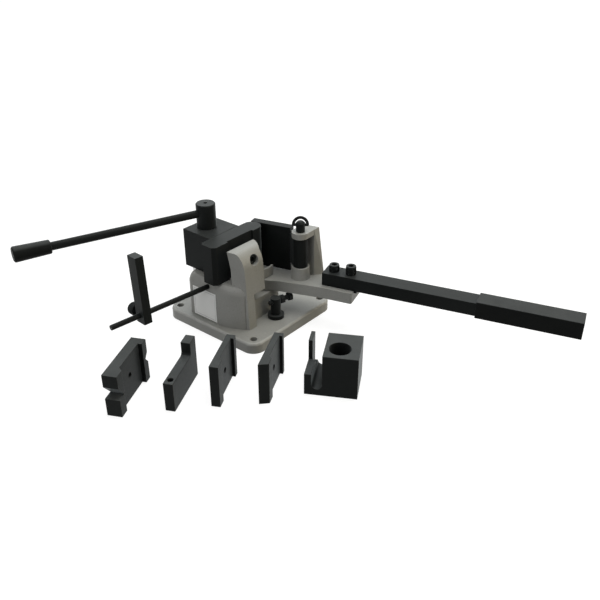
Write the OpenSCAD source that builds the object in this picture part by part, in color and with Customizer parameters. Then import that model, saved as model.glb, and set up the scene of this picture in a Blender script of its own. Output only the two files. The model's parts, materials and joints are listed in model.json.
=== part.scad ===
// Bench bracket bender with five loose bending tools on the floor in front of it.
// Millimetres. Origin at the centre of the base plate's underside, Z up,
// X along the bending die, Y the way the clamp block opens.

/* [Base plate] */
// Side of the square base plate
base_w = 190; // [186:1:220]
// Thickness of the base plate
base_t = 17.5; // [14:0.5:22]
// Corner radius of the base plate
base_r = 20; // [10:1:26]
// Size of the rounded rim round the top of the plate
base_rim = 4; // [1:0.5:6]
// Distance from the plate's edges to the centres of the bolt holes
bolt_inset = 15.5; // [13:0.5:20]
// Diameter of the bolt holes
bolt_d = 11; // [9:0.5:13]

/* [Pedestal] */
// Height of the deck that carries die and clamp block
deck_z = 88; // [84:1:100]
// Distance from the origin to the flat left wall
ped_left = 83; // [80:1:88]
// Distance from the origin to the back wall
ped_back = 57; // [54:1:66]
// Radius of the round front wall
ped_r = 70; // [66:1:74]
// Width of the rounded shoulder at the deck
shoulder_w = 8; // [4:0.5:10]
// Height of the rounded shoulder at the deck
shoulder_h = 17; // [10:1:24]
// Height of the floor under the swing arm
bay_z = 53; // [50:0.5:56]
// Radius of the boss under the swing arm's hub
boss_r = 40; // [36:1:44]

/* [Ear] */
// Distance from the origin to the ear's front face at the base
ear_front = 59; // [56:1:62]
// Width of the ear along its front
ear_w = 39.5; // [34:0.5:42]
// Height of the ear above the deck
ear_h = 54; // [48:1:58]
// Thickness of the ear at its top
ear_top_t = 12; // [8:1:14]
// Radius of the ear's top corner beside the swing arm
ear_corner_r = 3; // [1:0.5:6]
// Diameter of the set screw through the ear
ear_screw_d = 17; // [12:0.5:20]

/* [Bending die] */
// Radius of the die's nose
die_r = 14.5; // [12:0.5:16]
// Length of the die from its square end to the centre of its nose
die_len = 96.5; // [90:0.5:104]
// Broken corners of the die's square end
die_chamfer = 5; // [1:0.5:8]
// Height of the die above the deck
die_h = 62; // [56:1:68]
// Depth of the recess in the die's front
die_recess = 3.5; // [1:0.5:5]
// Diameter of the dowels under the die
dowel_d = 8; // [5:0.5:10]

/* [Clamp] */
// Width of the clamp block along the die
block_w = 62; // [56:1:66]
// Depth of the clamp block
block_d = 58; // [54:1:64]
// Opening of the clamp when the handle is swung back
clamp_stroke = 6; // [3:0.5:7]
// Diameter of the eccentric shaft's journal
journal_d = 20; // [16:0.5:22]
// Diameter of the cam lobe
lobe_d = 26; // [22:0.5:27]
// Diameter of the tower head
tower_d = 30; // [26:0.5:34]
// Height of the tower head
tower_h = 38.5; // [34:0.5:48]
// Diameter of the clamp handle's rod
handle_d = 12; // [8:0.5:14]
// Reach of the clamp handle from the cam's axis
handle_reach = 284.5; // [220:0.5:300]
// Length of the clamp handle's grip
handle_grip_len = 51; // [40:1:70]
// Diameter of the clamp handle's grip at its end
handle_grip_d = 22.5; // [18:0.5:28]

/* [Swing arm] */
// Radius of the arm's hub
hub_r = 30; // [26:0.5:31]
// Thickness of the arm
arm_t = 18; // [14:0.5:19]
// Reach of the arm from the pivot to its square end
arm_len = 170; // [168:1:186]
// Width of the arm at its square end
arm_end_w = 46; // [40:1:50]
// Diameter of the pivot pin
pivot_d = 20; // [16:0.5:24]
// Wall of the pivot bush
bush_wall = 3; // [2:0.5:4]
// Thickness of the bracket's top flange
flange_t = 9; // [6:0.5:12]
// Thickness of the bracket's upright web
web_t = 12.5; // [9:0.5:12.5]

/* [Wing] */
// Gap between wing plate and die nose for the strip
strip_gap = 2.5; // [1.5:0.5:3]
// Thickness of the wing plate
wing_t = 13; // [8:0.5:14]
// Length of the wing plate
wing_len = 67.6; // [60:0.2:70]
// Diameter of the wing pin
wing_pin_d = 12; // [9:0.5:13]
// Radius of the wing's barrel
barrel_r = 11.5; // [9.5:0.5:12.5]

/* [Lever] */
// Width of the lever bar
lever_w = 28.5; // [22:0.5:30]
// Height of the lever bar
lever_h = 20.7; // [16:0.1:24]
// Reach of the lever bar from the pivot
lever_reach = 496; // [440:1:620]
// Length of the lever's grip
grip_len = 145.5; // [110:0.5:170]
// Wall of the lever's grip at the sides
grip_wall = 1.6; // [1:0.1:3]
// Wall of the lever's grip at top and bottom
grip_lip = 2.7; // [1:0.1:4]
// Thread size of the lever's screws
screw_d = 10; // [8:1:12]

/* [Length stop] */
// Diameter of the stop rod
stop_rod_d = 8; // [6:0.5:10]
// Length of the stop rod outside the pedestal
stop_reach = 168; // [140:1:190]
// Height of the stop bar
stop_bar_h = 103.5; // [80:0.5:120]
// Width of the stop bar across the rod
stop_bar_w = 19.5; // [16:0.5:24]
// Thickness of the stop bar along the rod
stop_bar_t = 13; // [10:0.5:16]
// Diameter of the thumb screw's head
thumb_d = 19; // [14:0.5:24]

/* [Angle stop] */
// Diameter of the angle stop's post
post_d = 16; // [12:0.5:18]
// Diameter of the post's disc foot
post_foot_d = 26; // [20:0.5:30]
// Diameter of the stop screw and of the peg that meets it
stop_screw_d = 8; // [6:0.5:8]

/* [Loose tools] */
// Height of the loose dies
tool_h = 64.5; // [56:0.5:70]
// Thickness of the notched die
notch_die_t = 21.5; // [16:0.5:24]
// Thickness of the two lipped dies
lip_die_t = 13; // [9:0.5:15]
// Thickness of the corner die
corner_die_t = 14; // [12:0.5:16]
// Bore of the spare clamp block
spare_bore_d = 31; // [26:0.5:33]

/* [Hidden] */
$fn = 64;
HULL_FN = 32;
EPS = 0.01;

// Running clearance on radius, gap between sliding faces, and room round loose screws
fit = 0.05;
slip = 0.3;
room = 1;

bolt_pitch = base_w - 2 * bolt_inset;

// The pivot of the swing arm is the centre of the die's nose
pivot = [7, -1];

// Pedestal plan: the round wall is tangent to the flat left wall
ped_c = [ped_r - ped_left, -10];
ped_corner_r = 12;
ped_front = -ear_front + 6;

// Label on the left wall
label_t = 0.6;
label_y0 = -7;
label_w = 49;
label_margin = 2;

// Ear: outline in plan and in side view
ear_x0 = -65.5;
ear_x1 = ear_x0 + ear_w;
ear_flare = 7;
ear_hip = 12;
ear_hip_y = -47;
ear_y0 = -ear_front;
ear_top = deck_z + ear_h;
ear_back_top = -25;
ear_back_foot = -31;
ear_waist_y = -30.3;
ear_waist_z = ear_top - 27;
ear_top_front = ear_back_top - ear_top_t;
ear_bend_y = ear_y0 + 5;
ear_bend_z = ear_top - 31;
ear_leg_w = 15.5;
ear_screw_x = -43;
ear_screw_rise = 38;
ear_screw_z = deck_z + ear_screw_rise;
ear_screw_recess = 6;
ear_screw_socket = 4;

// Heights of the swing arm: it floats on a thrust washer above the bay's floor
washer_t = 1;
washer_inset = 4;
arm_z = bay_z + washer_t;
arm_top = arm_z + arm_t;
hub_rise = 3;
hub_top = arm_top + hub_rise;
bay_top = arm_top + 0.8;
bay_front = -45;
bay_roof_y = -20;
pocket_r = hub_r + room;
pin_seat = 4;

// Wall round the hub that carries the deck on from the pedestal to beside the wing plate
guard_t = 3.5;
guard_a0 = -172;
guard_a1 = -69;

// Die
die_x0 = pivot[0] - die_len;
die_top = deck_z + die_h;
die_back = pivot[1] + die_r;
die_lip = 30;
die_recess_x0 = die_x0 + die_lip;
die_nose_lip = 12;
die_recess_x1 = pivot[0] - die_nose_lip;
die_foot_z = hub_top + slip;
dowel_len = 20;
dowel_in = 33;
dowel_pitch = 22;
dowel_x = [die_x0 + dowel_in, die_x0 + dowel_in + dowel_pitch];

// Clamp block, and the cam that drives it
block_from_pivot = 43.7;
block_gap = 0.6;
block_lift = 0.1;
block_x = pivot[0] - block_from_pivot;
block_y0 = die_back + block_gap;
block_z0 = deck_z + block_lift;
cam_off = 2.3;
cam_depth = 35;
cam_x = block_x - cam_off;
cam_y = block_y0 + cam_depth;
cam_half_turn = 50;
cam_e = clamp_stroke / 2 / sin(cam_half_turn);
cam_rest = 180 + cam_half_turn;
lobe_at = [cam_e * cos(cam_rest), cam_e * sin(cam_rest)];
cam_slack = 0.3;
lobe_rise = 8;
lobe_h = 42;
lobe_z0 = deck_z + lobe_rise;
lobe_z1 = lobe_z0 + lobe_h;
neck_d = 16;
journal_len = 45;
journal_wall = 6;
tower_gap = 0.4;
tower_z = die_top + tower_gap;
tower_top = tower_z + tower_h;
neck_len = 12;
handle_angle = 160.2;
handle_drop = 15;
handle_z = tower_top - handle_drop;
handle_socket = 9;
grip_neck_d = handle_grip_d - 2.5;
set_screw_d = 6;
set_screw_len = 6;
key_w = 12;
key_h = 7;
key_len = 38;
key_in = 9;
key_back = 8;
key_x = block_x - block_w / 2 + key_in;
key_y0 = block_y0 + key_back;

// Swing arm, in its own frame: x out along the arm from the pivot
arm_angle = -74;
lever_y = 13;
arm_end_r = 3;
arm_waist_x = 55;
arm_waist_out = 6;
arm_root_angle = 65;
arm_neck_x = 119;
wing_pin_at = [78, 10];
pin_boss_r = 15;
pin_boss_h = 20;
pin_boss_top = arm_top + pin_boss_h;
flange_top = die_top;
flange_z = flange_top - flange_t;
flange_r = 13.5;
web_x0 = wing_pin_at[0] - 2;
web_x1 = wing_pin_at[0] + 17.2;
web_y1 = lever_y + arm_end_w / 2;
web_y0 = web_y1 - web_t;
web_top_out = 2.8;
web_foot_out = 12;
nut_af = 19;
nut_h = 9;
nut_room = 0.5;
peg_at = [62, 24];

// Wing plate, in the arm's frame
wing_y = die_r + strip_gap;
wing_x1 = 58;
wing_x0 = wing_x1 - wing_len;
wing_top = die_top - 1;
wing_foot_x = 2;
wing_foot_z = hub_top + room;
link_t = 7;
pin_neck_d = 14;
pin_neck_h = 16.5;
pin_chamfer = 2.5;

// Bail on the wing pin: a wire bow that swings on two pegs in the pin's neck
bail_d = 4.6;
bail_rise = 11;
bail_out = 3.8;
bail_r = pin_neck_d / 2 + bail_out;
bail_peg = bail_out + 3.5;
bail_turn = 23.3;
bail_lean = 30;

// Lever
lever_set_back = 0.6;
lever_x0 = arm_neck_x - lever_set_back;
lever_z = arm_top;
lever_screw_in = 14.6;
lever_screw_pitch = 27;
lever_screw_x = [lever_x0 + lever_screw_in, lever_x0 + lever_screw_in + lever_screw_pitch];
screw_head_d = 1.6 * screw_d;
screw_head_h = [screw_d + 1, screw_d + 4];
screw_bite = 12;
grip_cap = 2.5;
grip_edge_r = 1.2;
nub = 3.5;

// Length stop: the rod leaves the left wall a little askew
stop_angle = 173.7;
stop_z = deck_z - 11;
stop_wall_y = 9.7;
stop_bore = 20;
stop_bar_at = 114.2;
stop_lean = 2.8;
stop_bar_below = 12.5;
thumb_stem_d = 6;
thumb_stem = 7;
thumb_head = 12;

// Angle stop
post_from_pivot = [-16, -61];
post_at = pivot + post_from_pivot;
post_foot_h = 6;
post_top = bay_z - 2;
spigot_d = 10;
spigot_len = 10;
stop_screw_z = post_top - 6;
stop_screw_angle = -14;
stop_screw_out = 29.3;
stop_head_h = 5.5;
stop_screw_back = 12;
stop_nut_h = 6.5;
stop_nut_af = stop_screw_d + 5;

// Loose tools: near right corner on the floor, and how far each is turned from the common way
tool_angle = 26.4;
tool_hole_d = 8.5;
near_lip = 15;
notch_die_at = [-308.4, -55.2];
notch_die_len = 92;
notch_recess = 6;
notch_far_lip = 13;
notch_hole_z = tool_h / 2 + 2.5;
notch_floor = 27;
notch_top = 45.5;
notch_depth = 16;
far_notch_z = 36;
far_notch_half = 8;
far_notch_depth = 7;
corner_die_at = [-256.7, -100.2];
corner_die_len = 89;
corner_die_step = 44.5;
corner_post_len = 20.5;
corner_fillet = 5;
corner_hole_x = 9.8;
lip_recess = 4.5;
lip_a_at = [-211.9, -139.8];
lip_a_turn = 0.8;
lip_a_len = 80.5;
lip_a_far = 9.5;
lip_b_at = [-163.6, -185.1];
lip_b_turn = -0.8;
lip_b_len = 77;
lip_b_far = 8;
lip_b_extra = 1;
lip_b_skew = 5.5;
spare_at = [-82.8, -271.4];
spare_turn = 2.6;
spare_d = 61;
spare_block_w = 49;
spare_slot_w = 14.5;
spare_wall_w = 10;
spare_wall_h = 33.5;
spare_wall_len = 36.5;
spare_lip_t = 5.8;
spare_floor = 10;
spare_bore_wall = 5.5;
spare_bore_shift = 7.5;

CAST_GREY = [0.55, 0.56, 0.55];
BLACK = [0.13, 0.13, 0.14];
STEEL = [0.62, 0.62, 0.63];
BRONZE = [0.66, 0.5, 0.3];
WHITE = [0.9, 0.9, 0.88];

// Rectangle with round corners, from its lower left corner
module round_rect(size, r) {
  translate([r, 0]) square([size[0] - 2 * r, size[1]]);
  translate([0, r]) square([size[0], size[1] - 2 * r]);
  for (x = [r, size[0] - r], y = [r, size[1] - r])
    translate([x, y]) circle(r);
}

// Stadium along X between two centres
module stadium(x0, x1, r) {
  translate([x0, -r]) square([x1 - x0, 2 * r]);
  for (x = [x0, x1])
    translate([x, 0]) circle(r);
}

// Hexagon by its width across flats
module hexagon(af) {
  circle(d = af / cos(30), $fn = 6);
}

module at_pivot() {
  translate([pivot[0], pivot[1], 0]) children();
}

module in_arm() {
  at_pivot() rotate(arm_angle) children();
}

module at_cam() {
  translate([cam_x, cam_y, 0]) children();
}

// Along the clamp handle: x out from the cam's axis
module along_handle() {
  at_cam() translate([0, 0, handle_z]) rotate(handle_angle) children();
}

// Along the stop rod: x out from the pedestal's left wall
module along_stop() {
  translate([-ped_left, stop_wall_y, stop_z]) rotate(stop_angle) children();
}

// In the stop bar: z up the bar, which leans to the back
module in_stop_bar() {
  along_stop() translate([stop_bar_at, 0, 0]) rotate([stop_lean, 0, 0]) children();
}

// On the stop screw's axis: x from the post towards the peg
module along_stop_screw() {
  translate([post_at[0], post_at[1], stop_screw_z]) rotate(stop_screw_angle) children();
}

// On the bail: x along its pegs, z up the bow
module on_bail() {
  in_arm() translate([wing_pin_at[0], wing_pin_at[1], flange_top + bail_rise])
    rotate(bail_turn) rotate([-bail_lean, 0, 0]) children();
}

module along_x() {
  rotate([0, 90, 0]) children();
}

// Base casting

module plate_plan(inset) {
  w = base_w - 2 * inset;
  translate([-w / 2, -w / 2]) round_rect([w, w], base_r - inset);
}

module base_plate() {
  linear_extrude(base_t - base_rim) plate_plan(0);
  hull()
    for (a = [0 : 22.5 : 90])
      translate([0, 0, base_t - base_rim - EPS])
        linear_extrude(base_rim * sin(a) + EPS)
          plate_plan(base_rim * (1 - cos(a)), $fn = HULL_FN);
}

module pedestal_plan(inset) {
  x0 = -ped_left + inset;
  y1 = ped_back - inset;
  intersection() {
    union() {
      translate(ped_c) circle(ped_r - inset);
      translate([x0, ped_c[1]]) square([ped_r, y1 - ped_c[1] - ped_corner_r]);
      translate([x0 + ped_corner_r, ped_c[1]]) square([2 * ped_r, y1 - ped_c[1]]);
      translate([x0 + ped_corner_r, y1 - ped_corner_r]) circle(ped_corner_r);
    }
    translate([x0, ped_front]) square([pivot[0] - x0, y1 - ped_front]);
  }
}

module pedestal() {
  hull() {
    translate([0, 0, base_t - EPS]) linear_extrude(1) pedestal_plan(0, $fn = HULL_FN);
    for (a = [0 : 18 : 90])
      translate([0, 0, deck_z - shoulder_h])
        linear_extrude(max(shoulder_h * sin(a), 1))
          pedestal_plan(shoulder_w * (1 - cos(a)), $fn = HULL_FN);
  }
  at_pivot() translate([0, 0, base_t - EPS]) cylinder(r = boss_r, h = bay_z - base_t + EPS);
  at_cam() translate([0, 0, base_t - EPS])
    cylinder(r = journal_d / 2 + journal_wall, h = deck_z - base_t + EPS);
}

// Side view of the ear, in Y and Z
module ear_side() {
  polygon(concat(
    [[ear_back_foot, base_t - EPS], [ear_y0, base_t - EPS]],
    [for (a = [0 : 10 : 90])
      [ear_top_front + (ear_bend_y - ear_top_front) * cos(a),
       ear_bend_z + (ear_top - ear_bend_z) * sin(a)]],
    [[ear_back_top, ear_top], [ear_waist_y, ear_waist_z], [ear_back_foot, deck_z]]
  ));
}

// Front view of the ear, in X and Z
module ear_face() {
  w = ear_w + ear_flare + ear_hip;
  x0 = ear_x0 - ear_flare;
  translate([x0, base_t - EPS]) square([w, ear_top - ear_corner_r - base_t + EPS]);
  translate([x0, base_t - EPS]) square([w - ear_corner_r, ear_top - base_t + EPS]);
  translate([ear_x1 + ear_hip - ear_corner_r, ear_top - ear_corner_r]) circle(ear_corner_r);
}

module ear_plan() {
  polygon([
    [ear_x0, ear_y0], [ear_x1, ear_y0], [ear_x1, ear_hip_y],
    [ear_x1 + ear_hip, ear_back_top], [ear_x0 - ear_flare, ear_back_top]
  ]);
}

module ear() {
  intersection() {
    linear_extrude(ear_top + 1) ear_plan();
    rotate([90, 0, 90]) translate([0, 0, -base_w]) linear_extrude(2 * base_w) ear_side();
    rotate([90, 0, 0]) translate([0, 0, -base_w]) linear_extrude(2 * base_w) ear_face();
  }
}

// Room for the swing arm beside the pedestal
module side_bay() {
  translate([ear_x1, -base_w, bay_z]) cube([base_w, base_w + pivot[1], deck_z]);
}

// Room for the swing arm's hub, and for its bar under the ear
module arm_bay() {
  leg_x = ear_x0 + ear_leg_w;
  at_pivot() translate([0, 0, bay_z]) cylinder(r = pocket_r, h = deck_z - bay_z + 1);
  translate([leg_x, -base_w, bay_z]) cube([base_w, base_w + bay_roof_y, bay_top - bay_z]);
  difference() {
    translate([leg_x, -base_w, base_t]) cube([base_w, base_w + bay_front, bay_z - base_t + EPS]);
    at_pivot() cylinder(r = boss_r, h = bay_z + 1);
  }
}

module nose_guard() {
  at_pivot() translate([0, 0, bay_top]) linear_extrude(deck_z - bay_top) difference() {
    intersection() {
      circle(pocket_r + guard_t);
      polygon(concat([[0, 0]], [for (i = [0 : 4])
        2 * pocket_r * [cos(guard_a0 + (guard_a1 - guard_a0) * i / 4),
                        sin(guard_a0 + (guard_a1 - guard_a0) * i / 4)]]));
    }
    circle(pocket_r);
  }
}

module base_bores() {
  for (x = [-1, 1], y = [-1, 1])
    translate([x * bolt_pitch / 2, y * bolt_pitch / 2, -1]) cylinder(d = bolt_d, h = base_t + 2);
  at_pivot() translate([0, 0, base_t / 2]) cylinder(d = pivot_d, h = deck_z);
  at_cam() translate([0, 0, deck_z - journal_len - room])
    cylinder(r = journal_d / 2 + fit, h = journal_len + 2 * room);
  for (x = dowel_x)
    translate([x, pivot[1], deck_z - dowel_len / 2]) cylinder(d = dowel_d, h = dowel_len);
  translate([ear_screw_x, ear_back_top + 1, ear_screw_z]) rotate([90, 0, 0])
    cylinder(r = ear_screw_d / 2 + fit, h = ear_front);
  along_stop() along_x() translate([0, 0, -stop_bore - room])
    cylinder(r = stop_rod_d / 2 + fit, h = stop_bore + 2 * room);
  translate([key_x - key_w / 2 - slip, key_y0 - slip, deck_z - key_h - slip])
    cube([key_w + 2 * slip, base_w, key_h + 1]);
  translate([post_at[0], post_at[1], base_t - spigot_len]) cylinder(d = spigot_d, h = spigot_len + 1);
}

module base_casting() {
  color(CAST_GREY) difference() {
    union() {
      base_plate();
      difference() {
        union() {
          difference() {
            pedestal();
            side_bay();
          }
          ear();
        }
        arm_bay();
      }
      nose_guard();
    }
    base_bores();
  }
}

module label_plate() {
  color(WHITE)
    translate([-ped_left - label_t, label_y0, base_t + label_margin])
      cube([label_t, label_w, deck_z - shoulder_h - base_t - 2 * label_margin]);
}

// Bending die and what holds it

module die_plan() {
  near = die_r - die_chamfer;
  translate([pivot[0], 0]) circle(die_r);
  polygon([
    [die_x0, -near], [die_x0 + die_chamfer, -die_r], [pivot[0], -die_r],
    [pivot[0], die_r], [die_x0 + die_chamfer, die_r], [die_x0, near]
  ]);
}

// The nose goes on down to the arm's hub and holds the top of the pivot pin
module bending_die() {
  color(BLACK) difference() {
    union() {
      translate([0, pivot[1], deck_z]) linear_extrude(die_h) difference() {
        die_plan();
        translate([die_recess_x0, -2 * die_r]) square([die_recess_x1 - die_recess_x0, die_r + die_recess]);
      }
      at_pivot() translate([0, 0, die_foot_z]) cylinder(r = die_r, h = deck_z - die_foot_z + EPS);
    }
    at_pivot() cylinder(d = pivot_d, h = deck_z + pin_seat);
    for (x = dowel_x)
      translate([x, pivot[1], deck_z - 1]) cylinder(d = dowel_d, h = dowel_len / 2 + 1);
  }
}

module die_dowels() {
  color(STEEL)
    for (x = dowel_x)
      translate([x, pivot[1], deck_z - dowel_len / 2]) cylinder(d = dowel_d, h = dowel_len);
}

module ear_set_screw() {
  tip_y = pivot[1] - die_r + die_recess - slip;
  len = tip_y - ear_bend_y - ear_screw_recess;
  color(BLACK)
    translate([ear_screw_x, tip_y, ear_screw_z]) rotate([90, 0, 0]) difference() {
      cylinder(d = ear_screw_d, h = len);
      translate([0, 0, len - ear_screw_socket])
        linear_extrude(2 * ear_screw_socket) hexagon(ear_screw_d / 2);
    }
}

// Clamp

module clamp_block() {
  color(BLACK) difference() {
    translate([block_x - block_w / 2, block_y0, block_z0])
      cube([block_w, block_d, die_top - block_z0]);
    at_cam() translate([0, lobe_at[1], block_z0 - 1])
      linear_extrude(lobe_z1 + room - block_z0 + 1)
        stadium(-cam_e - cam_slack, lobe_at[0] + cam_slack, lobe_d / 2 + cam_slack);
    at_cam() rotate(90) translate([0, 0, lobe_z1])
      linear_extrude(die_top)
        stadium(-clamp_stroke, 0, neck_d / 2 + cam_slack);
  }
}

module guide_key() {
  color(STEEL)
    translate([key_x - key_w / 2, key_y0, deck_z - key_h])
      cube([key_w, key_len, block_z0 - deck_z + key_h]);
}

module eccentric_shaft() {
  color(STEEL) at_cam() {
    translate([0, 0, deck_z - journal_len]) cylinder(d = journal_d, h = journal_len);
    translate([0, 0, deck_z - EPS]) cylinder(d = neck_d, h = tower_z + neck_len - deck_z + EPS);
    translate([lobe_at[0], lobe_at[1], lobe_z0]) cylinder(d = lobe_d, h = lobe_h);
  }
}

module tower_head() {
  chamfer = 1.2;
  color(BLACK) difference() {
    at_cam() difference() {
      union() {
        translate([0, 0, tower_z]) cylinder(d = tower_d, h = tower_h - chamfer);
        translate([0, 0, tower_top - chamfer])
          cylinder(d1 = tower_d, d2 = tower_d - 2 * chamfer, h = chamfer);
      }
      translate([0, 0, tower_z - 1]) cylinder(d = neck_d, h = neck_len + 1);
      translate([0, 0, handle_z]) cylinder(d = set_screw_d, h = tower_h);
    }
    along_handle() along_x() translate([0, 0, -handle_socket]) cylinder(d = handle_d, h = tower_d);
  }
}

module handle_rod() {
  color(BLACK) along_handle() along_x() translate([0, 0, -handle_socket])
    cylinder(d = handle_d, h = handle_socket + handle_reach - grip_cap);
}

module handle_grip() {
  round = 3;
  start = handle_reach - handle_grip_len;
  end_r = handle_grip_d / 2;
  color(BLACK) along_handle() along_x() difference() {
    rotate_extrude() polygon(concat(
      [[0, start], [grip_neck_d / 2 - 1, start], [grip_neck_d / 2, start + 1]],
      [for (a = [0 : 15 : 90])
        [end_r - round + round * cos(a), handle_reach - round + round * sin(a)]],
      [[0, handle_reach]]
    ));
    translate([0, 0, -1]) cylinder(d = handle_d, h = handle_reach - grip_cap + 1);
  }
}

module handle_set_screw() {
  foot = handle_z + handle_d / 2;
  color(STEEL) at_cam() difference() {
    translate([0, 0, foot]) cylinder(d = set_screw_d, h = set_screw_len);
    translate([0, 0, foot + set_screw_len / 2])
      linear_extrude(set_screw_len) hexagon(set_screw_d / 2);
  }
}

// Length stop

module stop_rod() {
  color(BLACK) along_stop() along_x() translate([0, 0, -stop_bore])
    cylinder(d = stop_rod_d, h = stop_bore + stop_reach);
}

module stop_bar() {
  color(BLACK) in_stop_bar() difference() {
    translate([-stop_bar_t / 2, -stop_bar_w / 2, -stop_bar_below])
      cube([stop_bar_t, stop_bar_w, stop_bar_h]);
    along_x() translate([0, 0, -stop_bar_t]) cylinder(r = stop_rod_d / 2 + fit, h = 2 * stop_bar_t);
    rotate([90, 0, 0]) cylinder(r = thumb_stem_d / 2 + fit, h = stop_bar_w);
  }
}

// The screw runs across the bar and bears on the rod
module stop_thumb_screw() {
  tip = stop_rod_d / 2 + slip;
  neck = stop_bar_w / 2 + thumb_stem;
  color(BLACK) in_stop_bar() rotate([90, 0, 0]) {
    translate([0, 0, tip]) cylinder(d = thumb_stem_d, h = neck - tip + 1);
    translate([0, 0, neck]) cylinder(d = thumb_d, h = thumb_head);
  }
}

// Swing arm

module pivot_pin() {
  color(STEEL) at_pivot() translate([0, 0, base_t / 2])
    cylinder(d = pivot_d, h = deck_z + pin_seat - base_t / 2);
}

module thrust_washer() {
  color(BRONZE) at_pivot() translate([0, 0, bay_z]) difference() {
    cylinder(r = hub_r - washer_inset, h = washer_t - fit);
    translate([0, 0, -1]) cylinder(d = pivot_d, h = washer_t + 2);
  }
}

module pivot_bush() {
  color(BRONZE) at_pivot() translate([0, 0, arm_z]) difference() {
    cylinder(r = pivot_d / 2 + fit + bush_wall, h = hub_top - arm_z);
    translate([0, 0, -1]) cylinder(r = pivot_d / 2 + fit, h = hub_top);
  }
}

module arm_plan() {
  side = arm_end_w / 2;
  circle(hub_r);
  polygon([
    [hub_r * cos(arm_root_angle), -hub_r * sin(arm_root_angle)],
    [arm_waist_x, lever_y - side - arm_waist_out],
    [arm_neck_x, lever_y - side],
    [arm_neck_x, lever_y + side],
    [arm_waist_x, lever_y + side],
    [0, hub_r]
  ]);
  translate([arm_waist_x, lever_y - side])
    intersection() {
      round_rect([arm_len - arm_waist_x, arm_end_w], arm_end_r);
      translate([arm_neck_x - arm_waist_x - EPS, 0]) square([arm_len, arm_end_w]);
    }
}

// The bracket's upright web in plan, with its right side turned out at the back
module web_plan(out) {
  polygon([[web_x0, web_y0], [web_x1, web_y0], [web_x1 + out, web_y1], [web_x0, web_y1]]);
}

module bracket() {
  pin_x = wing_pin_at[0];
  pin_y = wing_pin_at[1];
  hull() {
    translate([0, 0, arm_top - 1]) linear_extrude(1) web_plan(web_foot_out);
    translate([0, 0, flange_z]) linear_extrude(flange_t) web_plan(web_top_out);
  }
  translate([pin_x, pin_y, arm_top - EPS])
    cylinder(r1 = pin_boss_r, r2 = pin_boss_r - 1, h = pin_boss_h + EPS);
  translate([0, 0, flange_z]) linear_extrude(flange_t) {
    translate(wing_pin_at) circle(flange_r);
    polygon([
      [pin_x - flange_r, pin_y], [pin_x + flange_r, pin_y],
      [web_x1 + web_top_out / 2, web_y0 + web_t / 2], [web_x0, web_y0 + web_t / 2]
    ]);
  }
}

module swing_arm() {
  color(CAST_GREY) in_arm() difference() {
    union() {
      translate([0, 0, arm_z]) linear_extrude(arm_t) arm_plan();
      translate([0, 0, arm_z]) cylinder(r = hub_r, h = hub_top - arm_z);
      bracket();
    }
    translate([0, 0, arm_z - 1]) cylinder(r = pivot_d / 2 + fit + bush_wall, h = deck_z);
    translate([wing_pin_at[0], wing_pin_at[1], arm_z]) {
      cylinder(d = wing_pin_d, h = flange_top);
      translate([0, 0, -1]) cylinder(d = nut_af / cos(30) + 2 * nut_room, h = nut_h + nut_room + 1);
    }
    for (x = lever_screw_x)
      translate([x, lever_y, arm_top - screw_bite]) cylinder(d = screw_d, h = arm_t);
    translate([peg_at[0], peg_at[1], arm_z - 1]) cylinder(d = stop_screw_d, h = arm_t / 2 + 1);
  }
}

// Peg under the arm that meets the angle stop's screw
module stop_peg() {
  foot = stop_screw_z - stop_screw_d;
  color(STEEL) in_arm() translate([peg_at[0], peg_at[1], foot])
    cylinder(d = stop_screw_d, h = arm_z + arm_t / 2 - foot);
}

module wing_pin() {
  foot = arm_z + nut_room;
  neck_h = pin_neck_h - pin_chamfer;
  color(BLACK) difference() {
    in_arm() translate([wing_pin_at[0], wing_pin_at[1], 0]) {
      translate([0, 0, foot]) cylinder(d = wing_pin_d, h = flange_top - foot + neck_h / 2);
      translate([0, 0, flange_top]) cylinder(d = pin_neck_d, h = neck_h);
      translate([0, 0, flange_top + neck_h])
        cylinder(d1 = pin_neck_d, d2 = pin_neck_d - 2 * pin_chamfer, h = pin_chamfer);
    }
    on_bail() along_x() translate([0, 0, -pin_neck_d]) cylinder(r = bail_d / 2 + fit, h = 2 * pin_neck_d);
  }
}

// Bow with a peg at each end, to pull the pin out by
module pin_bail() {
  color(BLACK) on_bail() {
    for (side = [-1, 1])
      translate([side * bail_r, 0, 0]) {
        sphere(d = bail_d);
        translate([-side * bail_peg / 2, 0, 0]) along_x() cylinder(d = bail_d, h = bail_peg, center = true);
      }
    rotate([90, 0, 0]) rotate_extrude(angle = 180) translate([bail_r, 0]) circle(d = bail_d);
  }
}

module wing_pin_nut() {
  color(STEEL) in_arm() translate([wing_pin_at[0], wing_pin_at[1], arm_z + nut_room])
    difference() {
      linear_extrude(nut_h) hexagon(nut_af);
      translate([0, 0, -1]) cylinder(d = wing_pin_d, h = nut_h + 2);
    }
}

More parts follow.
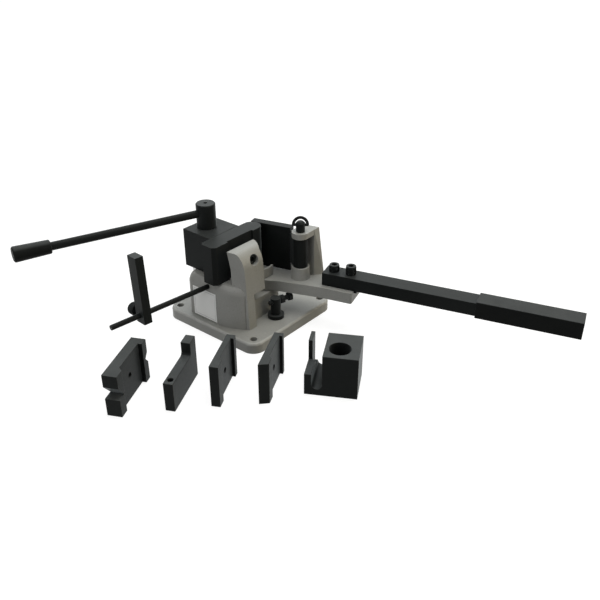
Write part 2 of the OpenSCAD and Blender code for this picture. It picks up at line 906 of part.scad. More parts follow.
// Plate and barrel in one piece; the plate's foot reaches down beside the hub
module wing_plate() {
  barrel_z = pin_boss_top + slip;
  barrel_h = flange_z - slip - barrel_z;
  plate_z = deck_z + slip;
  color(BLACK) in_arm() difference() {
    union() {
      translate([wing_x0, wing_y, plate_z]) cube([wing_len, wing_t, wing_top - plate_z]);
      translate([wing_foot_x, wing_y, wing_foot_z])
        cube([wing_x1 - wing_foot_x, wing_t, plate_z - wing_foot_z + 1]);
      translate([0, 0, barrel_z]) linear_extrude(barrel_h) {
        translate(wing_pin_at) circle(barrel_r);
        polygon([
          [wing_x1 - 1, wing_y],
          [wing_pin_at[0] - barrel_r * cos(40), wing_pin_at[1] - barrel_r * sin(40)],
          wing_pin_at,
          [wing_pin_at[0], wing_pin_at[1] + barrel_r],
          [wing_x1 - 1, wing_y + link_t]
        ]);
      }
    }
    translate([wing_pin_at[0], wing_pin_at[1], 0]) cylinder(r = wing_pin_d / 2 + fit, h = 2 * die_top);
  }
}

// Lever

// A small nub under the bar bears on the arm's square end
module lever_bar() {
  color(BLACK) in_arm() difference() {
    union() {
      translate([lever_x0, lever_y - lever_w / 2, lever_z])
        cube([lever_reach - lever_x0, lever_w, lever_h]);
      translate([arm_len, lever_y - lever_w / 2 + 1, lever_z - nub]) cube([nub + 1, nub, nub + 1]);
    }
    for (x = lever_screw_x)
      translate([x, lever_y, lever_z - 1]) cylinder(d = screw_d, h = lever_h + 2);
  }
}

module lever_grip() {
  w = lever_w + 2 * grip_wall;
  h = lever_h + 2 * grip_lip;
  x0 = lever_reach + grip_cap - grip_len;
  color(BLACK) in_arm() difference() {
    translate([x0, lever_y, lever_z + lever_h / 2]) rotate([90, 0, 90])
      linear_extrude(grip_len) translate([-w / 2, -h / 2]) round_rect([w, h], grip_edge_r);
    translate([x0 - 1, lever_y - lever_w / 2, lever_z])
      cube([grip_len - grip_cap + 1, lever_w, lever_h]);
  }
}

module lever_screws() {
  socket = screw_d / 2;
  color(BLACK) in_arm()
    for (i = [0, 1])
      translate([lever_screw_x[i], lever_y, 0]) difference() {
        union() {
          translate([0, 0, arm_top - screw_bite]) cylinder(d = screw_d, h = screw_bite + lever_h + 1);
          translate([0, 0, lever_z + lever_h]) cylinder(d = screw_head_d, h = screw_head_h[i]);
        }
        translate([0, 0, lever_z + lever_h + screw_head_h[i] - socket])
          linear_extrude(screw_d) hexagon(0.8 * screw_d);
      }
}

// Angle stop

module angle_stop_post() {
  color(BLACK) difference() {
    translate([post_at[0], post_at[1], 0]) {
      translate([0, 0, base_t - spigot_len]) cylinder(d = spigot_d, h = spigot_len + 1);
      translate([0, 0, base_t]) cylinder(d = post_foot_d, h = post_foot_h);
      translate([0, 0, base_t]) cylinder(d = post_d, h = post_top - base_t);
    }
    along_stop_screw() along_x() translate([0, 0, -post_d]) cylinder(d = stop_screw_d, h = 2 * post_d);
  }
}

// The screw's hexagon head meets the peg
module angle_stop_screw() {
  color(BLACK) along_stop_screw() along_x() {
    translate([0, 0, -stop_screw_back]) cylinder(d = stop_screw_d, h = stop_screw_back + stop_screw_out);
    translate([0, 0, stop_screw_out - stop_head_h]) linear_extrude(stop_head_h) hexagon(stop_nut_af);
  }
}

module angle_stop_nut() {
  color(BLACK) along_stop_screw() along_x() translate([0, 0, post_d / 2]) difference() {
    linear_extrude(stop_nut_h) hexagon(stop_nut_af);
    translate([0, 0, -1]) cylinder(d = stop_screw_d, h = stop_nut_h + 2);
  }
}

// Loose tools

module loose_tool(at, turn = 0) {
  color(BLACK) translate([at[0], at[1], 0]) rotate(tool_angle + turn) children();
}

// Plate with a lip at each end of its right face; skew draws its near left corner out
module lipped_plate(len, t, recess, far_lip, hole_z, skew = 0) {
  difference() {
    linear_extrude(tool_h) polygon([
      [0, 0], [near_lip, 0], [near_lip + recess, recess], [len - far_lip, recess],
      [len - far_lip, 0], [len, 0], [len, t], [-skew, t]
    ]);
    translate([len / 2, -1, hole_z]) rotate([-90, 0, 0]) cylinder(d = tool_hole_d, h = t + 2);
  }
}

// Prism through the notched die, from an outline along its length and height
module across_die(outline) {
  translate([0, 2 * notch_die_t, 0]) rotate([90, 0, 0]) linear_extrude(3 * notch_die_t) polygon(outline);
}

// The near notch has a level floor, the far one is a small V
module v_notch_die() {
  end = notch_die_len + EPS;
  loose_tool(notch_die_at) difference() {
    lipped_plate(notch_die_len, notch_die_t, notch_recess, notch_far_lip, notch_hole_z);
    across_die([[-EPS, notch_floor], [notch_depth, notch_floor], [-EPS, notch_top]]);
    across_die([
      [end, far_notch_z - far_notch_half], [end, far_notch_z + far_notch_half],
      [notch_die_len - far_notch_depth, far_notch_z]
    ]);
  }
}

// Low plate with a full-height post at its far end
module corner_die() {
  post_x = corner_die_len - corner_post_len;
  loose_tool(corner_die_at) difference() {
    translate([0, corner_die_t, 0]) rotate([90, 0, 0]) linear_extrude(corner_die_t)
      polygon(concat(
        [[0, 0], [corner_die_len, 0], [corner_die_len, tool_h], [post_x, tool_h]],
        [for (a = [0 : 15 : 90])
          [post_x - corner_fillet * (1 - cos(a)), corner_die_step + corner_fillet * (1 - sin(a))]],
        [[0, corner_die_step]]
      ));
    translate([corner_hole_x, corner_die_t / 2, corner_die_step / 2])
      cylinder(d = tool_hole_d, h = corner_die_step);
  }
}

module lip_die_a() {
  loose_tool(lip_a_at, lip_a_turn) lipped_plate(lip_a_len, lip_die_t, lip_recess, lip_a_far, tool_h / 2);
}

module lip_die_b() {
  loose_tool(lip_b_at, lip_b_turn)
    lipped_plate(lip_b_len, lip_die_t + lip_b_extra, lip_recess, lip_b_far, tool_h / 2, lip_b_skew);
}

// Bored block with a round-bottomed slot at its left, between the block,
// a low wall in front and a thin lip behind
module spare_clamp_block() {
  wall_y = spare_block_w + spare_slot_w;
  outer_y = wall_y + spare_wall_w;
  slot_z = spare_floor + spare_slot_w / 2;
  bore_y = spare_block_w - spare_bore_wall - spare_bore_d / 2;
  loose_tool(spare_at, spare_turn) difference() {
    union() {
      cube([spare_d, spare_block_w, tool_h]);
      cube([spare_d, outer_y, slot_z]);
      translate([0, wall_y, 0]) cube([spare_wall_len, spare_wall_w, spare_wall_h]);
      translate([spare_wall_len - EPS, outer_y - spare_lip_t, 0])
        cube([spare_d - spare_wall_len + EPS, spare_lip_t, tool_h]);
    }
    translate([-1, wall_y - spare_slot_w / 2, slot_z]) along_x() cylinder(d = spare_slot_w, h = spare_d + 2);
    translate([spare_d / 2 - spare_bore_shift, bore_y, -1]) cylinder(d = spare_bore_d, h = tool_h + 2);
  }
}

base_casting();
label_plate();
bending_die();
die_dowels();
ear_set_screw();
clamp_block();
guide_key();
eccentric_shaft();
tower_head();
handle_rod();
handle_grip();
handle_set_screw();
stop_rod();
stop_bar();
stop_thumb_screw();
pivot_pin();
thrust_washer();
pivot_bush();
swing_arm();
stop_peg();
wing_pin();
pin_bail();
wing_pin_nut();
wing_plate();
lever_bar();
lever_grip();
lever_screws();
angle_stop_post();
angle_stop_screw();
angle_stop_nut();
v_notch_die();
corner_die();
lip_die_a();
lip_die_b();
spare_clamp_block();
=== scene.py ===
import json
import math

import bmesh
import bpy
import numpy as np
from mathutils import Matrix, Vector


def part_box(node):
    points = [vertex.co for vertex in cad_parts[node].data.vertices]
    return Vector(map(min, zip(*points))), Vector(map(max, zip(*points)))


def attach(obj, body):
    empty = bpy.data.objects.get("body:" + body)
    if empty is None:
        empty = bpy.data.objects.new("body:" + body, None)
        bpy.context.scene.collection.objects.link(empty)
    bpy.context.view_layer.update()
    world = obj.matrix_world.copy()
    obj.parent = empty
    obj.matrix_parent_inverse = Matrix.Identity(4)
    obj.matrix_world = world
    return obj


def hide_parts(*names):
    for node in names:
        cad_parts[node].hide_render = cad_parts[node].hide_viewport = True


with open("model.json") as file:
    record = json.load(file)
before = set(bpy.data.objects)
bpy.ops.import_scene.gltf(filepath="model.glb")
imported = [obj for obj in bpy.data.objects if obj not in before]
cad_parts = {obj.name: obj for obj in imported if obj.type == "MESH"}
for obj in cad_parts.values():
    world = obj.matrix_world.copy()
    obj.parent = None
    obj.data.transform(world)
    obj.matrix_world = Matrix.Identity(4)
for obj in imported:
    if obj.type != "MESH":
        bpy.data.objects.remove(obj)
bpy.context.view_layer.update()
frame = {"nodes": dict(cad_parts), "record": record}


# Base casting: grey iron, sand cast in one piece with plate, round pedestal and ear.
# The mould rounds its edges, and a coat of satin grey paint shows the sand's grain
# and is rubbed paler along the edges.
class Wire:
    """One node output; arithmetic on it adds Math nodes to its graph."""

    def __init__(self, graph, socket):
        self.graph = graph
        self.socket = socket

    def math(self, operation, *others):
        values = dict(enumerate((self,) + others))
        return self.graph.node("ShaderNodeMath", {"operation": operation}, values)

    def __add__(self, other):
        return self.math("ADD", other)

    def __sub__(self, other):
        return self.math("SUBTRACT", other)

    def __rsub__(self, other):
        return self.math("MULTIPLY_ADD", -1.0, other)

    def __mul__(self, other):
        return self.math("MULTIPLY", other)

    def __truediv__(self, other):
        return self.math("DIVIDE", other)

    def __rtruediv__(self, other):
        return self.math("POWER", -1.0) * other

    __radd__ = __add__
    __rmul__ = __mul__


class Graph:
    """A node tree, built node by node."""

    def __init__(self, tree):
        self.tree = tree

    def node(self, kind, settings=None, inputs=None, out=0):
        made = self.tree.nodes.new(kind)
        for name, value in (settings or {}).items():
            setattr(made, name, value)
        for key, value in (inputs or {}).items():
            self.feed(made.inputs[key], value)
        return Wire(self, made.outputs[out]) if made.outputs else None

    def feed(self, socket, value):
        if isinstance(value, Wire):
            self.tree.links.new(value.socket, socket)
        else:
            socket.default_value = value


class Finish(Graph):
    """A surface finish on Object coordinates, which are metres in the part's frame."""

    def __init__(self, name, **constants):
        self.material = bpy.data.materials.new(name)
        self.material.use_nodes = True
        super().__init__(self.material.node_tree)
        self.shader = self.tree.nodes["Principled BSDF"]
        self.place = self.node("ShaderNodeTexCoord", out="Object")
        for key, value in constants.items():
            self.shader.inputs[key.replace("_", " ")].default_value = value

    def noise(self, scale, detail=3.0, roughness=0.55, stretch=None):
        vector = self.place
        if stretch:
            vector = self.node("ShaderNodeMapping", {}, {"Vector": self.place, "Scale": stretch})
        values = {"Vector": vector, "Scale": scale, "Detail": detail, "Roughness": roughness}
        return self.node("ShaderNodeTexNoise", {}, values)

    def shade(self, share, under, over):
        # Inputs 6 and 7 and output 2 are the Mix node's colours; other sockets share their names.
        return self.node("ShaderNodeMix", {"data_type": "RGBA"}, {0: share, 6: under, 7: over}, out=2)

    def between(self, value, low, high):
        limits = {"Value": value, "From Min": low, "From Max": high}
        return self.node("ShaderNodeMapRange", {"interpolation_type": "SMOOTHSTEP"}, limits)

    def worn_edge(self):
        return self.node("ShaderNodeAttribute", {"attribute_name": "edge"}, out="Fac")

    def coat(self, color, roughness, height, depth):
        bump = self.node("ShaderNodeBump", {}, {"Distance": depth, "Height": height})
        self.feed(self.shader.inputs["Base Color"], color)
        self.feed(self.shader.inputs["Roughness"], roughness)
        self.feed(self.shader.inputs["Normal"], bump)
        return self.material


def settled(piece, name):
    """The piece with its modifiers applied, as a plain mesh object at the origin."""
    depsgraph = bpy.context.evaluated_depsgraph_get()
    data = bpy.data.meshes.new_from_object(piece.evaluated_get(depsgraph), depsgraph=depsgraph)
    bpy.data.objects.remove(piece)
    data.name = name
    made = bpy.data.objects.new(name, data)
    bpy.context.scene.collection.objects.link(made)
    return made


def mark_edges(mesh, steps):
    """Writes 1 into the attribute edge along the middle of every rounded edge, and 0 on the flats."""
    # A square edge turns by 90 degrees / steps at its middle, and by half of that at its rims.
    middle_turn = math.radians(67 / steps)
    flat_lean = math.cos(math.radians(8))
    shape = bmesh.new()
    shape.from_mesh(mesh)
    worn = np.zeros(len(shape.verts), np.float32)
    for edge in shape.edges:
        if len(edge.link_faces) == 2 and edge.calc_face_angle_signed(0) > middle_turn:
            worn[edge.verts[0].index] = 1
            worn[edge.verts[1].index] = 1
    shape.free()
    normals = mesh.corner_normals
    for face in mesh.polygons:
        if all(face.normal.dot(normals[corner].vector) > flat_lean for corner in face.loop_indices):
            worn[list(face.vertices)] = 0
    mesh.attributes.new("edge", "FLOAT", "POINT").data.foreach_set("value", worn)


body_of = {node: body for body, nodes in frame["record"]["behaviour"]["bodies"].items() for node in nodes}


def eased(node, finish, width, steps=2, slimming=()):
    """The node's own shape, slimmed where asked, with its edges rounded to width, in the node's place."""
    seam_gap = 2e-5
    facet_turn = math.radians(0.6)
    crease_turn = math.radians(28)
    large_face_weight = 90
    shape = bmesh.new()
    shape.from_mesh(frame["nodes"][node].data)
    bmesh.ops.remove_doubles(shape, verts=shape.verts, dist=seam_gap)
    for slim in slimming:
        for vertex in shape.verts:
            slim(vertex)
    bmesh.ops.dissolve_limit(shape, angle_limit=facet_turn, verts=shape.verts, edges=shape.edges)
    data = bpy.data.meshes.new(node)
    shape.to_mesh(data)
    shape.free()
    data.polygons.foreach_set("use_smooth", [True] * len(data.polygons))
    piece = bpy.data.objects.new(node + "_raw", data)
    bpy.context.scene.collection.objects.link(piece)
    bevel = piece.modifiers.new("edges", "BEVEL")
    bevel.width = width
    bevel.segments = steps
    bevel.limit_method = "ANGLE"
    bevel.angle_limit = crease_turn
    piece.modifiers.new("normals", "WEIGHTED_NORMAL").weight = large_face_weight
    made = settled(piece, node + "_shape")
    mark_edges(made.data, steps)
    made.data.materials.clear()
    made.data.materials.append(finish)
    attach(made, body_of[node])
    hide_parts(node)


def cast_paint():
    dark_grey = (0.235, 0.236, 0.222, 1)
    pale_grey = (0.325, 0.326, 0.308, 1)
    dark_speck = (0.14, 0.14, 0.13, 1)
    pale_speck = (0.46, 0.46, 0.44, 1)
    rubbed_grey = (0.48, 0.48, 0.46, 1)
    paint = Finish("grey_cast_paint", Specular_IOR_Level=0.3)
    cloud = paint.noise(14, detail=4)
    speck = paint.noise(420, detail=2)
    sand = paint.noise(520, roughness=0.6)
    tone = paint.shade(cloud, dark_grey, pale_grey)
    tone = paint.shade(paint.between(speck, 0.58, 0.74) * 0.22, tone, dark_speck)
    tone = paint.shade(paint.between(speck, 0.42, 0.28) * 0.14, tone, pale_speck)
    tone = paint.shade(paint.worn_edge() * paint.noise(60) * 0.8, tone, rubbed_grey)
    return paint.coat(tone, roughness=0.34 + cloud * 0.18, height=sand + cloud * 2, depth=0.0001)


cast_steps = 3
grey_paint = cast_paint()
eased("base_casting", grey_paint, width=0.0022, steps=cast_steps)


# Label: a white plastic film stuck on the pedestal's flat left wall and left blank,
# with a fine printed frame line near its edge and a trace of soiling.
def label_film():
    soiled_white = (0.87, 0.88, 0.86, 1)
    clean_white = (0.95, 0.955, 0.94, 1)
    line_grey = (0.25, 0.25, 0.25, 1)
    line_outside = 0.0023
    line_inside = 0.0035
    line_blur = 0.0004
    low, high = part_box("label_plate")
    middle = (low + high) / 2
    half = (high - low) / 2
    film = Finish("label_film", Specular_IOR_Level=0.4)
    across = film.node("ShaderNodeSeparateXYZ", {}, {"Vector": film.place}, out="Y")
    upright = film.node("ShaderNodeSeparateXYZ", {}, {"Vector": film.place}, out="Z")
    beside = (across - middle.y).math("ABSOLUTE") - half.y
    above = (upright - middle.z).math("ABSOLUTE") - half.z
    inset = beside.math("MAXIMUM", above)
    within = film.between(inset, -line_inside, line_blur - line_inside)
    beyond = film.between(inset, -line_outside - line_blur, -line_outside)
    soil = film.noise(40)
    tone = film.shade(soil, soiled_white, clean_white)
    tone = film.shade((within - beyond) * 0.5, tone, line_grey)
    return film.coat(tone, roughness=0.34 + soil * 0.16, height=film.noise(300), depth=0.00002)


eased("label_plate", label_film(), width=0.00015)


# Bending die: a mild steel bar milled to a round nose, ground and blacked, that stands
# on the deck. Cutter marks stay faintly in the sheen, and the blacking thins on the edges.
def painted_top_sheen(finish, tone, cloud, share):
    """The tone with a patchy paler layer painted on the faces that look upward: painted sheen for the
    light these faces catch from above.
    """
    painted_sheen_grey = (0.11, 0.118, 0.12, 1)
    normal = finish.node("ShaderNodeTexCoord", out="Normal")
    upward = finish.node("ShaderNodeSeparateXYZ", {}, {"Vector": normal}, out="Z")
    layer = finish.between(upward, 0.6, 0.95) * (0.6 + cloud * 0.8) * share
    return finish.shade(layer, tone, painted_sheen_grey)


def blacked_steel(name, grain, top_sheen=0.05, sheen=0.22):
    """Blacking with its cutter marks along the grain, and as much painted sheen on the upper faces as
    given.
    """
    deep_black = (0.0058, 0.0068, 0.0066, 1)
    thin_black = (0.0110, 0.0126, 0.0122, 1)
    grey_speck = (0.045, 0.047, 0.046, 1)
    bare_edge = (0.085, 0.088, 0.086, 1)
    cold_sheen = (0.9, 0.98, 1, 1)
    steel = Finish(
        name, Specular_IOR_Level=0.05, Sheen_Weight=sheen, Sheen_Roughness=0.4, Sheen_Tint=cold_sheen)
    cloud = steel.noise(30, detail=4)
    lines = steel.noise(500, detail=2, roughness=0.5, stretch=grain)
    speck = steel.noise(900, detail=2)
    tone = steel.shade(cloud, deep_black, thin_black)
    tone = steel.shade(steel.between(speck, 0.62, 0.8) * 0.3, tone, grey_speck)
    # Painted sheen: a paler tone on the upper faces, as strong as asked.
    tone = painted_top_sheen(steel, tone, cloud, top_sheen)
    tone = steel.shade(steel.worn_edge() * steel.noise(90) * 0.8, tone, bare_edge)
    matt = 0.33 + lines * 0.16 + cloud * 0.06
    return steel.coat(tone, roughness=matt, height=lines + speck * 0.6, depth=0.00004)


along_x = (0.06, 1, 1)
milled_edge = 0.0009
# Its upper faces carry a faint painted sheen.
black_along_x = blacked_steel("blacked_steel", along_x)
eased("bending_die", black_along_x, milled_edge)


# Die dowels: two ground steel pins, pressed half into the deck and half into the die,
# bright all over with fine rings from the lathe.
def bright_steel():
    dull_steel = (0.42, 0.42, 0.42, 1)
    clean_steel = (0.58, 0.58, 0.57, 1)
    steel = Finish("bright_steel", Metallic=1.0)
    rings = steel.noise(700, detail=2, roughness=0.5, stretch=(0.2, 0.2, 1))
    stain = steel.noise(80)
    tone = steel.shade(stain, dull_steel, clean_steel)
    return steel.coat(tone, roughness=0.24 + rings * 0.16 + stain * 0.08, height=rings, depth=0.00003)


ground_edge = 0.0005
steel_pins = bright_steel()
eased("die_dowels", steel_pins, ground_edge)


# Ear screw: a blacked socket screw without a head, turned through the ear against the die.
# Its thread is one helix on a slimmer core, cut on a lathe up to the screw's full diameter.
class Former(Graph):
    """A Geometry Nodes tree that forms a shape round the z axis from its named sizes and finish."""

    def __init__(self, name, **kinds):
        super().__init__(bpy.data.node_groups.new(name, "GeometryNodeTree"))
        for size, kind in dict(kinds, Finish="Material").items():
            self.tree.interface.new_socket(size, in_out="INPUT", socket_type="NodeSocket" + kind)
        self.tree.interface.new_socket("Geometry", in_out="OUTPUT", socket_type="NodeSocketGeometry")

    def given(self, *names):
        return [self.node("NodeGroupInput", out=name) for name in names]

    def close(self, shape, lift):
        """Ends the tree: the shape is lifted along the axis, made one mesh and given its finish."""
        offset = self.node("ShaderNodeCombineXYZ", {}, {"Z": lift})
        shape = self.node("GeometryNodeTransform", {}, {"Geometry": shape, "Translation": offset})
        shape = self.node("GeometryNodeRealizeInstances", {}, {"Geometry": shape})
        finish = self.node("NodeGroupInput", out="Finish")
        shape = self.node("GeometryNodeSetMaterial", {}, {"Geometry": shape, "Material": finish})
        self.node("NodeGroupOutput", {}, {"Geometry": shape})
        return self.tree


def thread_tree():
    former = Former("helical_thread", Radius="Float", Pitch="Float", Length="Float", Depth="Float")
    radius, pitch, length, depth = former.given("Radius", "Pitch", "Length", "Depth")
    run = length - 2 * depth
    spiral = former.node("GeometryNodeCurveSpiral", {}, {
        "Resolution": 20, "Rotations": run / pitch, "Start Radius": radius - depth,
        "End Radius": radius - depth, "Height": run})
    spiral = former.node("GeometryNodeSetCurveNormal", {}, {"Curve": spiral})
    tooth = former.node("GeometryNodeCurvePrimitiveCircle", {}, {"Resolution": 4, "Radius": depth})
    ridge = former.node("GeometryNodeCurveToMesh", {}, {
        "Curve": spiral, "Profile Curve": tooth, "Fill Caps": True})
    return former.close(ridge, lift=depth)


class Stretch:
    """A round stretch of a screw, from its foot along its axis, that carries a thread or a knurl."""

    def __init__(self, foot, axis, length, radius):
        self.foot = Vector(foot)
        self.axis = Vector(axis).normalized()
        self.length = length
        self.radius = radius

    def slimmed(self, cut):
        """A move that draws the points of the stretch's wall in by the cut, to the core."""
        end_slack = 1e-5
        wall_slack = 1e-4
        core_share = (self.radius - cut) / self.radius

        def slim(vertex):
            along = (vertex.co - self.foot).dot(self.axis)
            spoke = vertex.co - self.foot - along * self.axis
            on_wall = abs(spoke.length - self.radius) < wall_slack
            if on_wall and -end_slack < along < self.length + end_slack:
                vertex.co = self.foot + along * self.axis + spoke * core_share

        return slim

    def place(self, start):
        """A matrix that stands the local z axis on the stretch's axis, so far from its foot."""
        turn = Vector((0, 0, 1)).rotation_difference(self.axis).to_matrix().to_4x4()
        return Matrix.Translation(self.foot + self.axis * start) @ turn


def from_tree(tree, name, stretch, finish, node, clear=(0, 0), **sizes):
    """The tree's shape on the stretch, clear of its ends, as a plain mesh that rides as the node does."""
    piece = bpy.data.objects.new(name + "_raw", bpy.data.meshes.new(name))
    bpy.context.scene.collection.objects.link(piece)
    modifier = piece.modifiers.new("shape", "NODES")
    modifier.node_group = tree
    values = dict(sizes, Radius=stretch.radius, Length=stretch.length - sum(clear), Finish=finish)
    for item in tree.interface.items_tree:
        if item.in_out == "INPUT":
            modifier[item.identifier] = values[item.name]
    made = settled(piece, name)
    made.data.transform(stretch.place(clear[0]))
    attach(made, body_of[node])


turned_edge = 0.0006
thread = thread_tree()
low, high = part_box("ear_set_screw")
ear_screw_tip = Vector(((low.x + high.x) / 2, high.y, (low.z + high.z) / 2))
ear_screw = Stretch(ear_screw_tip, (0, -1, 0), length=high.y - low.y, radius=(high.x - low.x) / 2)
eased("ear_set_screw", black_along_x, turned_edge, slimming=[ear_screw.slimmed(cut=0.0008)])
from_tree(
    thread, "ear_screw_thread", ear_screw, black_along_x, "ear_set_screw",
    Pitch=0.002, Depth=0.0009)

# Clamp block: a milled steel block, bored inside for the cam and blacked. A bright key
# under it runs in a slot of the deck and keeps it square to the die.
eased("clamp_block", black_along_x, milled_edge)
eased("guide_key", steel_pins, ground_edge)


# Clamp handle: a turned cam shaft in the deck carries a blacked round head, in which a
# small screw holds a blacked bar. A tapered grip of hard black plastic is pushed on its end.
def grip_black():
    deep_black = (0.0065, 0.0072, 0.0070, 1)
    pale_black = (0.0120, 0.0130, 0.0126, 1)
    rubbed_black = (0.05, 0.05, 0.05, 1)
    skin = Finish("black_grip", Specular_IOR_Level=0.03, Sheen_Weight=0.09, Sheen_Roughness=0.4)
    cloud = skin.noise(45)
    pebble = skin.noise(1100, detail=2)
    tone = skin.shade(cloud, deep_black, pale_black)
    # Painted sheen: the grip's upper faces get a paler tone for the light they catch from above.
    tone = painted_top_sheen(skin, tone, cloud, share=0.38)
    tone = skin.shade(skin.worn_edge() * 0.35, tone, rubbed_black)
    return skin.coat(tone, roughness=0.40 + cloud * 0.15, height=pebble, depth=0.00006)


along_z = (1, 1, 0.06)
bar_edge = 0.0008
grip_edge = 0.001
# Painted sheen: the upright pieces get a paler tone on their upper faces.
black_along_z = blacked_steel("blacked_steel_upright", along_z, top_sheen=0.2)
grip_skin = grip_black()
eased("eccentric_shaft", steel_pins, ground_edge)
eased("tower_head", black_along_z, turned_edge)
eased("handle_rod", black_along_x, bar_edge)
eased("handle_set_screw", steel_pins, ground_edge)
eased("handle_grip", grip_skin, grip_edge)


# Length stop: a blacked round rod in the pedestal, a square bar that slides on it, and
# a screw across the bar with a turned head, knurled by a straight roller, to lock it.
def knurl_tree():
    former = Former("straight_knurl", Count="Int", Radius="Float", Length="Float", Depth="Float")
    count, radius, length, depth = former.given("Count", "Radius", "Length", "Depth")
    around = former.node("GeometryNodeMeshCircle", {}, {"Vertices": count, "Radius": radius - depth})
    tooth = former.node("GeometryNodeMeshCylinder", {}, {"Vertices": 4, "Radius": depth, "Depth": length})
    turn = former.node("GeometryNodeInputIndex") * math.tau / count
    facing = former.node("ShaderNodeCombineXYZ", {}, {"Z": turn})
    teeth = former.node("GeometryNodeInstanceOnPoints", {}, {
        "Points": around, "Instance": tooth, "Rotation": facing})
    return former.close(teeth, lift=length * 0.5)


knurl = knurl_tree()
joint_of = {joint["name"]: joint for joint in frame["record"]["behaviour"]["joints"]}
thumb_axis = Vector(joint_of["thumb_turn"]["axis"]).normalized()
thumb_at = Vector(joint_of["thumb_turn"]["pos_m"])
stem_start = 0.0043
stem_end = 0.01675
thumb_stem = Stretch(
    thumb_at + thumb_axis * stem_start, thumb_axis, length=stem_end - stem_start, radius=0.003)
thumb_head = Stretch(thumb_at + thumb_axis * stem_end, thumb_axis, length=0.012, radius=0.0095)
eased("stop_rod", black_along_x, turned_edge)
eased("stop_bar", black_along_z, milled_edge)
eased("stop_thumb_screw", black_along_x, milled_edge, slimming=[
    thumb_stem.slimmed(cut=0.0004), thumb_head.slimmed(cut=0.0006)])
from_tree(
    thread, "thumb_screw_thread", thumb_stem, black_along_x, "stop_thumb_screw",
    Pitch=0.001, Depth=0.00045)
from_tree(
    knurl, "thumb_screw_knurl", thumb_head, black_along_x, "stop_thumb_screw",
    clear=(0.0013, 0.0013), Count=44, Depth=0.00065)


# Pivot: a ground steel pin between base and die, with a bronze washer under the arm's
# hub and a bronze bush pressed into it.
def bronze():
    dark_bronze = (0.42, 0.26, 0.11, 1)
    pale_bronze = (0.55, 0.36, 0.17, 1)
    metal = Finish("bronze", Metallic=1.0)
    stain = metal.noise(90)
    tone = metal.shade(stain, dark_bronze, pale_bronze)
    return metal.coat(tone, roughness=0.28 + stain * 0.2, height=metal.noise(600), depth=0.00003)


bearing_bronze = bronze()
eased("pivot_pin", steel_pins, ground_edge)
eased("thrust_washer", bearing_bronze, width=0.0002)
eased("pivot_bush", bearing_bronze, width=0.0004)

# Swing arm: the second casting, with hub, bar, boss and bracket in one, painted as the
# base is. A bright peg under it meets the angle stop.
eased("swing_arm", grey_paint, width=0.0018, steps=cast_steps)
eased("stop_peg", steel_pins, ground_edge)

# Wing: a blacked plate with a barrel that swivels on a blacked pin through the bracket.
# A bow of round wire in the pin's neck pulls it out, and a nut under the arm holds it.
oiled_black = blacked_steel("blacked_steel_wing", along_z, sheen=0.05)
eased("wing_plate", oiled_black, milled_edge)
eased("wing_pin", black_along_z, turned_edge)
eased("pin_bail", black_along_x, width=0.0003)
eased("wing_pin_nut", steel_pins, ground_edge)


# Lever: a square steel bar, blacked, screwed down on the arm by two socket screws with
# knurled heads. A square sleeve of hard black plastic is pushed on its end.
def heading(degrees):
    """The level direction that lies so many degrees round from the x axis."""
    return Vector((math.cos(math.radians(degrees)), math.sin(math.radians(degrees)), 0))


along_y = (1, 0.06, 1)
# Painted sheen: the lever's upper faces get a paler tone.
black_along_y = blacked_steel("blacked_steel_lever", along_y, top_sheen=0.1)
eased("lever_bar", black_along_y, grip_edge)
eased("lever_grip", grip_skin, grip_edge)
arm_degrees = -74
lever_beside = 0.013
lever_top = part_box("lever_bar")[1].z
pivot_at = Vector(joint_of["arm_swing"]["pos_m"])
lever_heads = []
for reach, height in ((0.133, 0.011), (0.160, 0.014)):
    foot = pivot_at + heading(arm_degrees) * reach + heading(arm_degrees + 90) * lever_beside
    foot.z = lever_top
    lever_heads.append(Stretch(foot, (0, 0, 1), length=height, radius=0.008))
eased("lever_screws", black_along_z, bar_edge, slimming=[head.slimmed(cut=0.0005) for head in lever_heads])
for number, head in enumerate(lever_heads):
    from_tree(
        knurl, "lever_screw_knurl_%d" % number, head, black_along_z, "lever_screws",
        clear=(0.0006, 0.0018), Count=46, Depth=0.00055)

# Angle stop: a turned and blacked post, pressed into the base plate, with a hexagon
# screw across its top, locked by a nut, that the arm's peg comes up against.
stop_way = heading(-14)
stop_below_top = 0.006
stop_back = 0.012
stop_front = 0.0238
post_low, post_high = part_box("angle_stop_post")
stop_foot = (post_low + post_high) / 2 - stop_way * stop_back
stop_foot.z = post_high.z - stop_below_top
stop_screw = Stretch(stop_foot, stop_way, length=stop_back + stop_front, radius=0.004)
eased("angle_stop_post", black_along_z, bar_edge)
eased("angle_stop_nut", black_along_x, ground_edge)
eased("angle_stop_screw", black_along_x, turned_edge, slimming=[stop_screw.slimmed(cut=0.0005)])
from_tree(
    thread, "angle_stop_thread", stop_screw, black_along_x, "angle_stop_screw",
    Pitch=0.00125, Depth=0.00056)

# Loose tools: two lipped plates, a notched plate, a corner die and a bored block, all
# milled from steel and blacked. They stand on the floor, to be set in the machine by hand.
# A paler tone painted on their upper faces stands in for the sheen these faces catch.
black_with_top_sheen = blacked_steel("blacked_steel_tools", along_x, top_sheen=0.45)
for tool in ("v_notch_die", "corner_die", "lip_die_a", "lip_die_b", "spare_clamp_block"):
    eased(tool, black_with_top_sheen, milled_edge)


# Studio: a pale floor that keeps the object's shadow, in a room that shows white. Softboxes
# hang overhead, behind for the sheen on the tops, at the front left and, warm, at the right.
# The camera stands where the photograph was taken from.
def seen_in(graph):
    """1 for the rays that show the background, in view, in metal or in glass, and 0 for its light."""
    camera_ray, glossy_ray, clear_ray = (
        graph.node("ShaderNodeLightPath", out=name)
        for name in ("Is Camera Ray", "Is Glossy Ray", "Is Transmission Ray"))
    return (camera_ray + glossy_ray + clear_ray).math("MINIMUM", 1.0)


white = (1, 1, 1, 1)


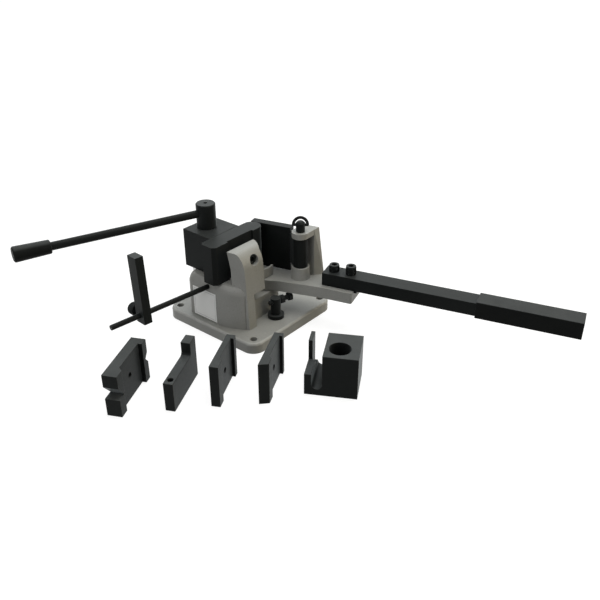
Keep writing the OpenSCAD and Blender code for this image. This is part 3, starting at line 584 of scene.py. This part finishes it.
def studio_floor():
    half = 30.0
    level = -0.0005
    pale_grey = (0.26, 0.26, 0.26, 1)
    near_glow = {"From Min": 0.6, "To Min": 0.86}
    far_glow = {"From Max": 2.0, "To Max": 1.0}
    plane = bpy.data.meshes.new("floor")
    corners = [(-half, -half, level), (half, -half, level), (half, half, level), (-half, half, level)]
    plane.from_pydata(corners, [], [(0, 1, 2, 3)])
    ground = bpy.data.objects.new("floor", plane)
    bpy.context.scene.collection.objects.link(ground)
    material = bpy.data.materials.new("pale_floor")
    material.use_nodes = True
    paper = Graph(material.node_tree)
    paper.tree.nodes.remove(paper.tree.nodes["Principled BSDF"])
    place = paper.node("ShaderNodeTexCoord", out="Object")
    reach = paper.node("ShaderNodeVectorMath", {"operation": "LENGTH"}, {0: place}, out="Value")
    fade = paper.node("ShaderNodeMapRange", {}, {"Value": reach, **near_glow, **far_glow})
    diffuse = paper.node("ShaderNodeBsdfDiffuse", {}, {"Color": pale_grey})
    glow = paper.node("ShaderNodeEmission", {}, {"Color": white, "Strength": seen_in(paper) * fade})
    both = paper.node("ShaderNodeAddShader", {}, {0: diffuse, 1: glow})
    paper.feed(paper.tree.nodes["Material Output"].inputs["Surface"], both)
    plane.materials.append(material)


def softbox(name, place, aim, size, watts, color):
    lamp = bpy.data.lights.new(name, "AREA")
    lamp.shape = "RECTANGLE"
    lamp.size = size[0]
    lamp.size_y = size[1]
    lamp.energy = watts
    lamp.color = color
    made = bpy.data.objects.new(name, lamp)
    bpy.context.scene.collection.objects.link(made)
    made.location = place
    made.rotation_euler = (Vector(aim) - Vector(place)).to_track_quat("-Z", "Y").to_euler()


def studio_room():
    ambient = 0.11
    world = bpy.data.worlds.new("studio")
    bpy.context.scene.world = world
    world.use_nodes = True
    room = Graph(world.node_tree)
    backdrop = room.tree.nodes["Background"].inputs
    room.feed(backdrop["Color"], white)
    room.feed(backdrop["Strength"], seen_in(room) * (1 - ambient) + ambient)


studio_floor()
softbox(
    "overhead", place=(0.30, -0.25, 1.75), aim=(-0.05, -0.15, 0.05),
    size=(1.5, 1.5), watts=25, color=(1.0, 1.0, 0.97))
softbox(
    "behind", place=(1.35, 1.00, 1.15), aim=(-0.05, -0.25, 0.06),
    size=(2.8, 1.6), watts=18, color=(0.93, 0.99, 1.0))
softbox(
    "left", place=(-1.75, 0.15, 0.80), aim=(-0.05, 0.05, 0.05),
    size=(1.2, 1.2), watts=11.5, color=(1.0, 1.0, 1.0))
softbox(
    "warm", place=(0.95, -1.70, 0.60), aim=(0, -0.10, 0.05),
    size=(1.2, 1.2), watts=10.5, color=(1.0, 0.84, 0.52))
studio_room()

camera = bpy.data.objects.new("camera", bpy.data.cameras.new("camera"))
bpy.context.scene.collection.objects.link(camera)
camera.data.lens = 43.9
camera.data.sensor_width = 36
camera.location = (-0.7450, -0.7131, 0.6127)
camera.rotation_euler = (math.radians(60.05), 0, math.radians(-50.71))
bpy.context.scene.camera = camera
bpy.context.scene.view_settings.view_transform = "Standard"
